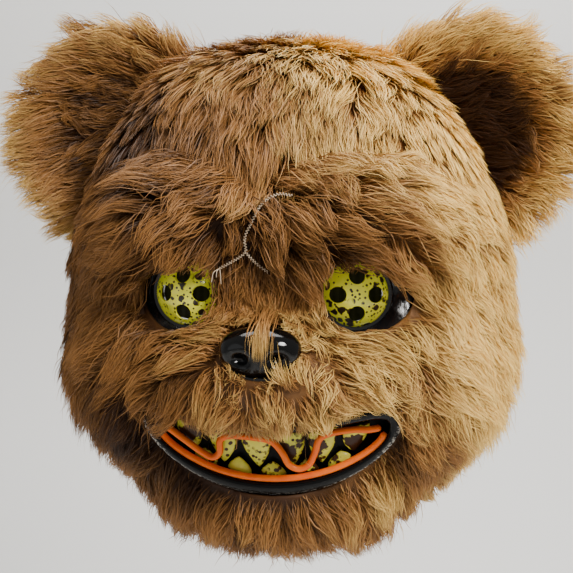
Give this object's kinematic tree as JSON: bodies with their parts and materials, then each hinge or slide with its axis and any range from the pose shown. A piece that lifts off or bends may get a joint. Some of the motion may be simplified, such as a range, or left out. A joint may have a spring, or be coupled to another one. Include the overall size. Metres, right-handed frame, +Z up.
{
  "type": "furry bear mask",
  "caption": "Plush-covered moulded bear mask with two stuffed ears, domed eyes with view holes, a grinning toothed mouth and an elastic band behind",
  "frame": {"origin": "middle of the inside of the crown, where the mask rests on the wearer's head", "axes": "+Z up, the face looks along -Y, +X towards the viewer's right when the face is seen from the front"},
  "size_m": [0.3774, 0.2641, 0.349],
  "materials": {
    "black_plastic": "glossy black moulded plastic",
    "brown_plush": "long brown pile with tan tips and dark roots",
    "lime_print": "glossy lime-yellow plastic printed with dark specks",
    "black_gauze": "matt black see-through gauze",
    "yellow_teeth": "yellow plastic with dark brown splashes",
    "orange_tube": "semi-gloss orange plastic tube",
    "black_elastic": "matt woven elastic"
  },
  "bodies": {
    "root": {"face_shell": "black_plastic", "nose": "black_plastic", "mouth_rim": "black_plastic", "mouth_plate": "black_plastic", "hood_fur": "brown_plush", "brow_fur_left": "brown_plush", "brow_fur_right": "brown_plush", "muzzle_fur": "brown_plush", "chin_fur": "brown_plush", "ear_left": "brown_plush", "ear_right": "brown_plush", "eye_lens_left": "lime_print", "eye_lens_right": "lime_print", "eye_gauze_left": "black_gauze", "eye_gauze_right": "black_gauze", "upper_tooth_1": "yellow_teeth", "upper_tooth_2": "yellow_teeth", "upper_tooth_3": "yellow_teeth", "upper_tooth_4": "yellow_teeth", "upper_tooth_5": "yellow_teeth", "upper_tooth_6": "yellow_teeth", "lower_tooth_1": "yellow_teeth", "lower_tooth_2": "yellow_teeth", "lower_tooth_3": "yellow_teeth", "lower_tooth_4": "yellow_teeth", "lower_tooth_5": "yellow_teeth", "lip_tube": "orange_tube", "lacing_tube": "orange_tube", "head_strap": "black_elastic"}
  },
  "joints": []
}
